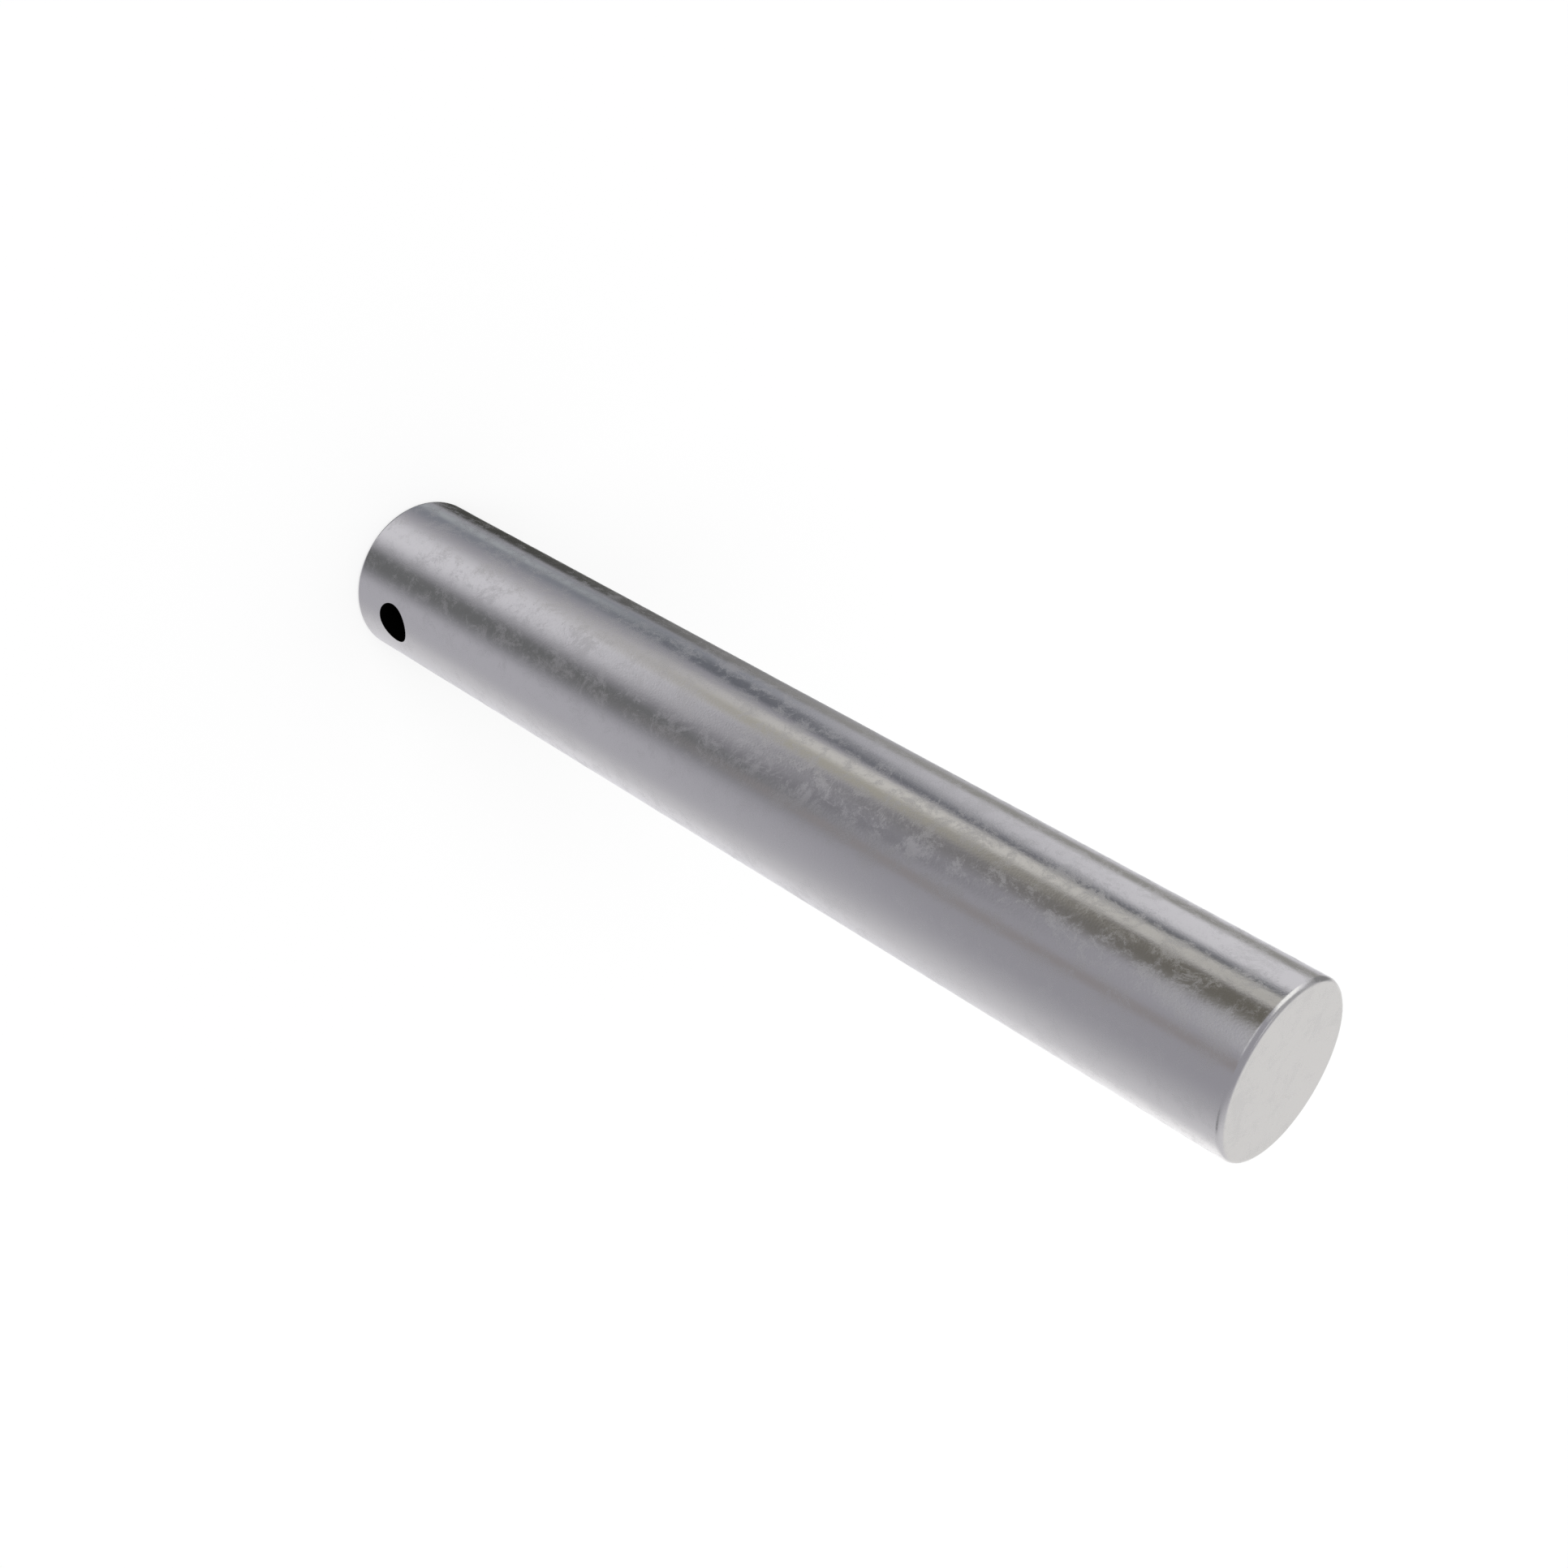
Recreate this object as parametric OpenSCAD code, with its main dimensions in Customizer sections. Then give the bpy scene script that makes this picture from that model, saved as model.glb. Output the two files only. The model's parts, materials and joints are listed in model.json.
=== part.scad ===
// A headless drilled pin: a plain round bar with rounded end edges and one
// cross hole for a split pin. It stands on its drilled end. The bar's axis is Z,
// the origin is the middle of the drilled end's face, and the hole runs along Y.

/* [Shank] */
// Diameter of the pin
pin_d = 24; // [16:0.5:40]
// Overall length, from end face to end face
pin_l = 160; // [60:1:240]

/* [Ends] */
// Radius of the rounded edge at the drilled end
drilled_edge_r = 0.8; // [0.2:0.1:2]
// Radius of the rounded edge at the plain end
plain_edge_r = 0.8; // [0.2:0.1:2]

/* [Cross hole] */
// Diameter of the cross hole
hole_d = 6.3; // [2:0.1:8]
// Distance from the drilled end's face to the middle of the hole
hole_from_end = 9; // [7:0.5:30]

/* [Hidden] */

pin_r = pin_d / 2;
// The drill is longer than the shank is wide, so it comes out on both sides
drill_l = 2 * pin_d;
// Sides of a circle in the preview
$fn = 96;

// Half of the lengthwise section, on the +X side of the axis.
module half_section() {
    // Shank, from one rounded edge to the other
    translate([0, drilled_edge_r])
        square([pin_r, pin_l - drilled_edge_r - plain_edge_r]);
    end_section(drilled_edge_r);
    translate([0, pin_l])
        mirror([0, 1])
            end_section(plain_edge_r);
}

// One end of that section, with the end's face at height 0. The edge is a quarter
// circle of radius r, tangent to the face and to the shank.
module end_section(r) {
    translate([pin_r - r, r])
        circle(r);
    // The flat face, on a slab as high as the circle beside it
    square([pin_r - r, 2 * r]);
}

// The drill's path, square across the middle of the shank along Y
module cross_drill() {
    translate([0, 0, hole_from_end])
        rotate([90, 0, 0])
            cylinder(d = hole_d, h = drill_l, center = true);
}

module drilled_pin() {
    color("silver")
        difference() {
            rotate_extrude()
                half_section();
            cross_drill();
        }
}

drilled_pin();
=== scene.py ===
import json
import math

import bpy
import numpy as np
from mathutils import Matrix, Vector


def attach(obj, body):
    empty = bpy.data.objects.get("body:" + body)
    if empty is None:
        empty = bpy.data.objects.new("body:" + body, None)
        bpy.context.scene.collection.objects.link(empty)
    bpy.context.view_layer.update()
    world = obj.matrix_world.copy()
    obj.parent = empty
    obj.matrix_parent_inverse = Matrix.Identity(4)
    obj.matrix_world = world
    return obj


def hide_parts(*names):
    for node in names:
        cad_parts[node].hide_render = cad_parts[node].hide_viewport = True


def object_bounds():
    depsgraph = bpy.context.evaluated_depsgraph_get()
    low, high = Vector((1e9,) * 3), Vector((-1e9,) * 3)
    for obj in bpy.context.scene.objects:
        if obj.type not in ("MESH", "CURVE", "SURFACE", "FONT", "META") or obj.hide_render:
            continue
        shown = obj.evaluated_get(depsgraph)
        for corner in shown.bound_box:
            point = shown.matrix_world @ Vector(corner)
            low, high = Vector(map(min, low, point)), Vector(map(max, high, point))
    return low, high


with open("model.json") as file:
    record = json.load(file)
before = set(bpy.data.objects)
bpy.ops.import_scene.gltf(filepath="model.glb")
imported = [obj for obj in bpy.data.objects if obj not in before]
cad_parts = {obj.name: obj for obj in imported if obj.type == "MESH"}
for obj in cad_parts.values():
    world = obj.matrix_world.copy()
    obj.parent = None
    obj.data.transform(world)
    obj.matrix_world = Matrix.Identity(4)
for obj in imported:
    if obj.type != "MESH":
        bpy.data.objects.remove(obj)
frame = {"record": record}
cad_low, cad_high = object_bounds()

# The camera looks at the middle of the pin along an isometric line, with a 50 mm lens.
# The pin stands on its drilled end and the camera is turned about its own line of sight,
# so the pin lies across the picture, with its plain end near and low on the right.
camera_distance = 0.2924
camera_lens = 50.0
camera_sensor = 36.0
camera_near = 0.01
camera_far = 20.0

pin_length = cad_high.z
pin_middle = Vector((0.0, 0.0, pin_length / 2))
towards_camera = Vector((-1.0, -1.0, 1.0)).normalized()
camera_up = Vector((-2.0, 1.0, -1.0)).normalized()
camera_right = camera_up.cross(towards_camera)

camera_data = bpy.data.cameras.new("photo_camera")
camera_data.lens = camera_lens
camera_data.sensor_width = camera_sensor
camera_data.clip_start = camera_near
camera_data.clip_end = camera_far
camera = bpy.data.objects.new("photo_camera", camera_data)
camera_turn = Matrix((camera_right, camera_up, towards_camera)).transposed()
camera_place = Matrix.Translation(pin_middle + camera_distance * towards_camera)
camera.matrix_world = camera_place @ camera_turn.to_4x4()
bpy.context.scene.collection.objects.link(camera)
bpy.context.scene.camera = camera
bpy.context.scene.view_settings.view_transform = "Standard"


# The floor is a sheet of white matt paper, wide enough to fill every view. It shows white
# to the camera and keeps a faint shadow round the pin's foot, and it isn't mirrored in the steel.
floor_half = 3.0
paper_hex = "f4f4f4"
# The camera sees this share of plain white, mixed with the lit paper and its shadow
paper_glow = 0.7


def linear(colour_hex):
    """An sRGB hex colour as linear red, green and blue, with full alpha. A channel up to 0.04045
    is divided by 12.92. A higher one has 0.055 added, is divided by 1.055 and raised to 2.4."""
    srgb = np.array([int(colour_hex[i:i + 2], 16) for i in (0, 2, 4)]) / 255
    rgb = np.where(srgb <= 0.04045, srgb / 12.92, ((srgb + 0.055) / 1.055) ** 2.4)
    return (*rgb, 1.0)


def add_node(tree, kind, settings=None, links=None):
    """Adds one node: settings are its properties or input values, and links feed its inputs."""
    made = tree.nodes.new(kind)
    for name, value in (settings or {}).items():
        if isinstance(name, str) and hasattr(made, name):
            setattr(made, name, value)
        else:
            made.inputs[name].default_value = value
    for name, source in (links or {}).items():
        tree.links.new(source, made.inputs[name])
    return made


def new_material(name):
    """A new material and its node tree, still empty."""
    material = bpy.data.materials.new(name)
    material.use_nodes = True
    material.node_tree.nodes.clear()
    return material, material.node_tree


paper, tree = new_material("white_matt_paper")
paper_lit = add_node(tree, "ShaderNodeBsdfDiffuse", {"Color": linear(paper_hex)})
paper_white = add_node(tree, "ShaderNodeEmission", {"Color": linear("ffffff"), "Strength": 1.0})
ray_kind = add_node(tree, "ShaderNodeLightPath")
glow = add_node(tree, "ShaderNodeMath", {"operation": "MULTIPLY", 1: paper_glow},
                {0: ray_kind.outputs["Is Camera Ray"]})
paper_seen = add_node(tree, "ShaderNodeMixShader", None,
                      {0: glow.outputs[0], 1: paper_lit.outputs[0], 2: paper_white.outputs[0]})
add_node(tree, "ShaderNodeOutputMaterial", None, {"Surface": paper_seen.outputs[0]})

floor_mesh = bpy.data.meshes.new("paper_floor")
corner_sides = ((-1, -1), (1, -1), (1, 1), (-1, 1))
floor_corners = [(x * floor_half, y * floor_half, 0.0) for x, y in corner_sides]
floor_mesh.from_pydata(floor_corners, [], [(0, 1, 2, 3)])
floor_mesh.materials.append(paper)
floor = bpy.data.objects.new("paper_floor", floor_mesh)
floor.visible_glossy = False
bpy.context.scene.collection.objects.link(floor)


# One wide soft lamp shines from high on the camera's side, so the pin's shadow falls behind it.
# The steel mirrors the surround and not the lamp.
lamp_rise = math.radians(62)
lamp_spread = math.radians(35)
lamp_strength = 1.2

lamp_data = bpy.data.lights.new("soft_lamp", "SUN")
lamp_data.angle = lamp_spread
lamp_data.energy = lamp_strength
lamp = bpy.data.objects.new("soft_lamp", lamp_data)
lamp_side = Vector((towards_camera.x, towards_camera.y, 0.0)).normalized()
towards_lamp = lamp_side * math.cos(lamp_rise) + Vector((0.0, 0.0, math.sin(lamp_rise)))
lamp.rotation_euler = towards_lamp.to_track_quat("Z", "Y").to_euler()
lamp.visible_glossy = False
bpy.context.scene.collection.objects.link(lamp)


# The surround is a white room, as bright metal is photographed in. Pale panels and dark flags
# stand round the pin and lean a little. They show only in the steel, as stripes along the shank.
# Bearings are in degrees round the pin from the camera's side, and rises above the horizon.
half_circle = 180.0
camera_azimuth = math.atan2(towards_camera.y, towards_camera.x)
room_light = 0.8
surround_light = 1.25
room_hex = "9998a0"
# The shank mirrors these rises to the camera, at its drilled end and at its plain end
low_rise = -46.2
high_rise = -20.4
panels_and_flags = [
    # Name, colour, bearings at the low and high rise, half width, edge, rises to fade in and out
    ("floor_sweep", "cecdd2", (156, 156), 22, 88, None, (34, 76)),
    ("near_sweep", "faf9fb", (158, 158), 10, 30, (-32, -18), (-6, 8)),
    ("low_panel", "b0afb7", (66, 66), 8, 34, None, (-42, -28)),
    ("low_sweep", "dbdadf", (148, 148), 10, 24, (-46, -40), (-34, -27)),
    ("front_flag", "696a6c", (17, -8), 4, 31, None, (-38, -31)),
    ("front_shade", "6f6e74", (-17, -21), 12, 14, (-49, -40), (-35, -26)),
    ("front_line", "908c8f", (18, 20), 2, 8, (-40, -34), (0, 15)),
    ("brown_flag", "66635d", (-37, -40), 8, 18, (-36, -24), (-16, 0)),
    ("wide_panel", "d5d4db", (-34, -34), 6, 36, None, (-45, -31)),
    ("warm_wall", "a5a299", (-51, -51), 4, 10, (-43, -36), (-33, -25)),
    ("cold_flag", "80838c", (-97, -130), 9, 16, None, (-38, -32)),
    ("blue_flag", "50535c", (-108, -71), 5, 12, (-43, -37), (-31, -26)),
    ("blue_edge", "4e5159", (-80, -80), 6, 11, (-31, -26), (-10, 2)),
    ("thin_panel", "cdcbc8", (-63, -65), 3, 10, (-43, -33), (-12, 0)),
    ("thin_shade", "b3b1ae", (-64, -64), 2, 6, (-30, -22), (-16, -6)),
    ("cold_line", "a2a6ab", (-107, -105), 3, 7, None, (-44, -38)),
    ("tall_panel", "d4d3d9", (-111, -106), 14, 18, (-40, -22), None),
    ("back_wall", "d9d8d8", (180, 180), 16, 24, (-22, 0), (25, 46)),
    ("olive_flag", "434340", (-149, -151), 20, 10, None, (-45, -24)),
    ("olive_line", "908f8d", (-136, -136), 5, 11, (-43, -30), (0, 20)),
    ("back_shade", "848486", (-134, -134), 12, 14, (-18, -2), (24, 38)),
    ("high_shade", "a3a3a6", (-118, -118), 30, 24, (32, 44), (60, 75)),
    ("back_panel", "f0f0f1", (180, 180), 6, 12, (-54, -42), (-5, 10)),
    ("front_glow", "c9c9ce", (-13, -13), 10, 14, (-25, -16), (-2, 16)),
    ("side_softbox", "ffffff", (-77, -77), 12, 18, (-10, 4), (34, 48)),
    ("right_flag", "86868a", (86, 86), 6, 16, (-18, -8), (2, 16)),
]


def bearing_band(tree, bearing, rise, centres, half_width, edge):
    """1 within half_width of a centre line, which leans with the rise from one centre to the
    other, and falling smoothly to 0 over the edge."""
    centre = add_node(tree, "ShaderNodeMapRange",
                      {"From Min": low_rise, "From Max": high_rise,
                       "To Min": centres[0], "To Max": centres[1]},
                      {"Value": rise})
    offset = add_node(tree, "ShaderNodeMath", {"operation": "SUBTRACT"},
                      {0: bearing, 1: centre.outputs[0]})
    turned = add_node(tree, "ShaderNodeMath", {"operation": "WRAP", 1: half_circle, 2: -half_circle},
                      {0: offset.outputs[0]})
    away = add_node(tree, "ShaderNodeMath", {"operation": "ABSOLUTE"}, {0: turned.outputs[0]})
    band = add_node(tree, "ShaderNodeMapRange",
                    {"interpolation_type": "SMOOTHSTEP", "From Min": half_width,
                     "From Max": half_width + edge, "To Min": 1.0, "To Max": 0.0},
                    {"Value": away.outputs[0]})
    return band.outputs[0]


def rise_fade(tree, rise, ends, strength, start, stop):
    """The strength times a smooth step, which goes from start to stop as the rise goes from the
    first of the ends to the second."""
    step = add_node(tree, "ShaderNodeMapRange",
                    {"interpolation_type": "SMOOTHSTEP", "From Min": ends[0], "From Max": ends[1],
                     "To Min": start, "To Max": stop},
                    {"Value": rise})
    product = add_node(tree, "ShaderNodeMath", {"operation": "MULTIPLY"},
                       {0: strength, 1: step.outputs[0]})
    return product.outputs[0]


world = bpy.data.worlds.new("white_room")
bpy.context.scene.world = world
world.use_nodes = True
tree = world.node_tree
tree.nodes.clear()
room_way = add_node(tree, "ShaderNodeTexCoord")
faced = add_node(tree, "ShaderNodeMapping", {"Rotation": (0.0, 0.0, -camera_azimuth)},
                 {"Vector": room_way.outputs["Generated"]})
ways = add_node(tree, "ShaderNodeSeparateXYZ", None, {0: faced.outputs[0]})
bearing_turn = add_node(tree, "ShaderNodeMath", {"operation": "ARCTAN2"},
                        {0: ways.outputs[1], 1: ways.outputs[0]})
bearing = add_node(tree, "ShaderNodeMath", {"operation": "DEGREES"}, {0: bearing_turn.outputs[0]})
rise_turn = add_node(tree, "ShaderNodeMath", {"operation": "ARCSINE"}, {0: ways.outputs[2]})
rise = add_node(tree, "ShaderNodeMath", {"operation": "DEGREES"}, {0: rise_turn.outputs[0]})

room = add_node(tree, "ShaderNodeRGB")
room.outputs[0].default_value = linear(room_hex)
# Each card covers what stands before it in the list
seen = room.outputs[0]
for name, card_hex, centres, half_width, edge, fade_in, fade_out in panels_and_flags:
    strength = bearing_band(tree, bearing.outputs[0], rise.outputs[0], centres, half_width, edge)
    if fade_in:
        strength = rise_fade(tree, rise.outputs[0], fade_in, strength, 0.0, 1.0)
    if fade_out:
        strength = rise_fade(tree, rise.outputs[0], fade_out, strength, 1.0, 0.0)
    card = add_node(tree, "ShaderNodeMixRGB", {"label": name, "Color2": linear(card_hex)},
                    {"Fac": strength, "Color1": seen})
    seen = card.outputs[0]

# The steel mirrors the room and its cards, matt things get an even light, and the rest is white
lit = add_node(tree, "ShaderNodeVectorMath", {"operation": "SCALE", "Scale": surround_light},
               {0: seen})
ray_kind = add_node(tree, "ShaderNodeLightPath")
plain = add_node(tree, "ShaderNodeRGB")
plain.outputs[0].default_value = (room_light, room_light, room_light, 1.0)
mirrored = add_node(tree, "ShaderNodeMixRGB", None,
                    {"Fac": ray_kind.outputs["Is Glossy Ray"], "Color1": plain.outputs[0],
                     "Color2": lit.outputs[0]})
white_rays = add_node(tree, "ShaderNodeMath", {"operation": "MAXIMUM"},
                      {0: ray_kind.outputs["Is Camera Ray"],
                       1: ray_kind.outputs["Is Transmission Ray"]})
shown = add_node(tree, "ShaderNodeMixRGB", {"Color2": linear("ffffff")},
                 {"Fac": white_rays.outputs[0], "Color1": mirrored.outputs[0]})
backdrop = add_node(tree, "ShaderNodeBackground", {"Strength": 1.0}, {"Color": shown.outputs[0]})
add_node(tree, "ShaderNodeOutputWorld", None, {"Surface": backdrop.outputs[0]})


# The drilled pin is one length of bright drawn steel bar, ground and lightly polished.
# It was cut to length, its end edges were rounded in the lathe, and then it was cross-drilled.
mm = 0.001
mounts = {mount["name"]: mount for mount in frame["record"]["mounts"]}
shank_r = mounts["shank"]["dims"]["r_mm"] * mm
plain_wall = mounts["shank"]["dims"]["length_mm"] * mm
edge_r = (pin_length - plain_wall) / 2
hole_r = mounts["cross_hole"]["dims"]["r_mm"] * mm
hole_z = mounts["cross_hole"]["pos_m"][2]

# The wall round the hole is one band, up to the height that puts the hole in its middle
patch_top = 2 * hole_z - edge_r
turns = 256
patch_rows = 32
shank_rows = 60
edge_rows = 14
mouth_rings = 16
mouth_crowding = 1.3
bore_rings = 24
merge_digits = 8


def at(turn, radius, height):
    """Points at a turn round the pin's axis, a radius from it and a height along it."""
    turn, radius, height = np.broadcast_arrays(turn, radius, height)
    return np.stack([radius * np.cos(turn), radius * np.sin(turn), height], -1)


def shank_wall():
    """The plain wall above the hole: a cylinder, with the turn along one side of the grid and the
    height along the other."""
    turn, height = np.meshgrid(np.linspace(0, 2 * np.pi, turns + 1),
                               np.linspace(patch_top, pin_length - edge_r, shank_rows + 1))
    return at(turn, shank_r, height), at(turn, 1.0, 0.0)


def rounded_edge(face_z, outward):
    """A quarter of a torus, from the wall to the end face: the section's circle is swept from its
    level radius to the one along the axis."""
    turn, tilt = np.meshgrid(np.linspace(0, 2 * np.pi, turns + 1),
                             np.linspace(0, np.pi / 2, edge_rows + 1))
    normal = at(turn, np.cos(tilt), outward * np.sin(tilt))
    middle = at(turn, shank_r - edge_r, face_z - outward * edge_r)
    return middle + edge_r * normal, normal


def end_face(face_z, outward):
    """A flat disc, as a square grid pressed round: each square ring of the grid becomes a circle
    with its points evenly spread."""
    a, b = np.meshgrid(np.linspace(-1, 1, turns // 4 + 1), np.linspace(-1, 1, turns // 4 + 1))
    flat = np.abs(b) > np.abs(a)
    reach = np.where(flat, b, a)
    share = np.where(flat, a, b) / np.where(reach == 0, 1, reach)
    turn = np.where(flat, np.pi / 2 - share * np.pi / 4, share * np.pi / 4)
    points = at(turn, reach * (shank_r - edge_r), face_z)
    return points, np.broadcast_to([0.0, 0.0, outward], points.shape)


def mouth_turns():
    """The border of the patch as turns and heights, once round, and for each of its points the
    turn round the hole's own axis that aims at it."""
    half_turn = np.linspace(0, np.pi, turns // 2 + 1)
    up = np.linspace(edge_r, patch_top, patch_rows + 1)
    border_turn = np.concatenate([half_turn[:-1], np.full(patch_rows, np.pi), half_turn[:0:-1],
                                  np.zeros(patch_rows + 1)])
    border_z = np.concatenate([np.full(turns // 2, edge_r), up[:-1], np.full(turns // 2, patch_top),
                               up[::-1]])
    aim = np.unwrap(np.arctan2(border_z - hole_z, -(border_turn - np.pi / 2) * shank_r))
    return aim, border_turn, border_z


def mouth_patch(side):
    """The wall round one mouth: straight rays on the unrolled wall, from the hole's breakout line
    to the patch's border, with the rings closer together near the hole."""
    aim, border_turn, border_z = mouth_turns()
    mouth_turn = np.arccos(hole_r * np.cos(aim) / shank_r)
    mouth_z = hole_z + hole_r * np.sin(aim)
    share = np.linspace(0, 1, mouth_rings + 1)[:, None] ** mouth_crowding
    turn = side * (mouth_turn + share * (border_turn - mouth_turn))
    height = mouth_z + share * (border_z - mouth_z)
    return at(turn, shank_r, height), at(turn, 1.0, 0.0)


def bore_wall():
    """The hole's wall: its own circle, carried along Y from one mouth's breakout line to the other's."""
    aim, along = np.meshgrid(mouth_turns()[0], np.linspace(-1, 1, bore_rings + 1))
    x, z = hole_r * np.cos(aim), hole_z + hole_r * np.sin(aim)
    y = along * np.sqrt(shank_r ** 2 - x ** 2)
    normal = np.stack([-np.cos(aim), np.zeros_like(aim), -np.sin(aim)], -1)
    return np.stack([x, y, z], -1), normal


def grid_faces(points, normals):
    """Four corners for each cell of a grid, in the order that makes the face point along its normal."""
    index = np.arange(points.shape[0] * points.shape[1]).reshape(points.shape[:2])
    cells = np.stack([index[:-1, :-1], index[:-1, 1:], index[1:, 1:], index[1:, :-1]], -1).reshape(-1, 4)
    corner = points.reshape(-1, 3)[cells]
    facing = np.cross(corner[:, 2] - corner[:, 0], corner[:, 3] - corner[:, 1])
    wanted = normals.reshape(-1, 3)[cells].sum(1)
    turned = (facing * wanted).sum(1) < 0
    cells[turned] = cells[turned][:, ::-1]
    return cells


def joined_mesh(name, patches):
    """One closed mesh of all the patches: points that meet are made one, and each patch keeps the
    true normals of its own surface."""
    points, normals, cells, slots, start = [], [], [], [], 0
    for slot, (grid, normal) in patches:
        face = grid_faces(grid, normal)
        points.append(grid.reshape(-1, 3))
        normals.append(normal.reshape(-1, 3))
        cells.append(face + start)
        slots.append(np.full(len(face), slot))
        start += len(points[-1])
    points, normals = np.concatenate(points), np.concatenate(normals)
    cells, slots = np.concatenate(cells), np.concatenate(slots)
    _, first, where = np.unique(np.round(points, merge_digits), axis=0,
                                return_index=True, return_inverse=True)
    corners = where.reshape(-1)[cells]
    mesh = bpy.data.meshes.new(name)
    mesh.from_pydata(points[first], [], corners)
    mesh.polygons.foreach_set("material_index", slots.astype(np.int32))
    mesh.polygons.foreach_set("use_smooth", np.ones(len(corners), bool))
    mesh.normals_split_custom_set(normals[cells].reshape(-1, 3))
    mesh.update()
    return mesh


steel_slot, bore_slot = 0, 1
pin_mesh = joined_mesh("drilled_pin_bar", [
    (steel_slot, shank_wall()),
    (steel_slot, rounded_edge(0.0, -1)),
    (steel_slot, rounded_edge(pin_length, 1)),
    (steel_slot, end_face(0.0, -1)),
    (steel_slot, end_face(pin_length, 1)),
    (steel_slot, mouth_patch(1)),
    (steel_slot, mouth_patch(-1)),
    (bore_slot, bore_wall()),
])

# Bright drawn steel: a pale grey mirror under a thin haze. The polish is uneven, so cloudy
# patches a few millimetres wide, with ragged borders, blur what they mirror. A faint fine grain
# covers it all.
steel_hex = "d6d5d3"
clear_roughness = 0.14
hazy_roughness = 0.31
haze_width = 0.0035
haze_detail = 6.0
haze_raggedness = 0.86
haze_drift = 0.4
haze_starts = 0.45
haze_full = 0.61
grain_width = 0.0003
grain_detail = 1.0
grain_height = 0.000005

steel, tree = new_material("bright_drawn_steel")
place = add_node(tree, "ShaderNodeTexCoord").outputs["Object"]
haze = add_node(tree, "ShaderNodeTexNoise",
                {"Scale": 1 / haze_width, "Detail": haze_detail, "Roughness": haze_raggedness,
                 "Distortion": haze_drift},
                {"Vector": place})
hazy = add_node(tree, "ShaderNodeMapRange",
                {"interpolation_type": "SMOOTHSTEP", "From Min": haze_starts, "From Max": haze_full},
                {"Value": haze.outputs[0]})
grain = add_node(tree, "ShaderNodeTexNoise", {"Scale": 1 / grain_width, "Detail": grain_detail},
                 {"Vector": place})
relief = add_node(tree, "ShaderNodeBump", {"Strength": 1.0, "Distance": grain_height},
                  {"Height": grain.outputs[0]})
roughness = add_node(tree, "ShaderNodeMapRange", {"To Min": clear_roughness, "To Max": hazy_roughness},
                     {"Value": hazy.outputs[0]})
metal = add_node(tree, "ShaderNodeBsdfPrincipled", {"Metallic": 1.0, "Base Color": linear(steel_hex)},
                 {"Roughness": roughness.outputs[0], "Normal": relief.outputs[0]})
add_node(tree, "ShaderNodeOutputMaterial", None, {"Surface": metal.outputs[0]})

# Drilled wall: the drill leaves fine rings round the bore. Its near-black colour is painted shade, so
# the hole looks black.
# The real rings are about 0.2 mm apart, and are drawn coarser here, to show at all.
bore_painted_shade_hex = "1c1b1a"
bore_roughness = 0.5
ring_pitch = 0.00125
ring_height = 0.00001
ring_wander = 1.0
# Phase of the wave texture, in radians for each unit of its scaled length
wave_phase = 20

drilled, tree = new_material("drilled_steel_painted_shade")
place = add_node(tree, "ShaderNodeTexCoord").outputs["Object"]
rings = add_node(tree, "ShaderNodeTexWave",
                 {"bands_direction": "Y", "Scale": 2 * math.pi / wave_phase / ring_pitch,
                  "Distortion": ring_wander},
                 {"Vector": place})
relief = add_node(tree, "ShaderNodeBump", {"Strength": 1.0, "Distance": ring_height},
                  {"Height": rings.outputs["Fac"]})
# The base colour is painted shade: near black, for the dark inside of the hole
metal = add_node(tree, "ShaderNodeBsdfPrincipled",
                 {"Metallic": 1.0, "Base Color": linear(bore_painted_shade_hex), "Roughness": bore_roughness},
                 {"Normal": relief.outputs[0]})
add_node(tree, "ShaderNodeOutputMaterial", None, {"Surface": metal.outputs[0]})

pin_mesh.materials.append(steel)
pin_mesh.materials.append(drilled)
pin = bpy.data.objects.new("drilled_pin_bar", pin_mesh)
bpy.context.scene.collection.objects.link(pin)
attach(pin, "root")
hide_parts("drilled_pin")
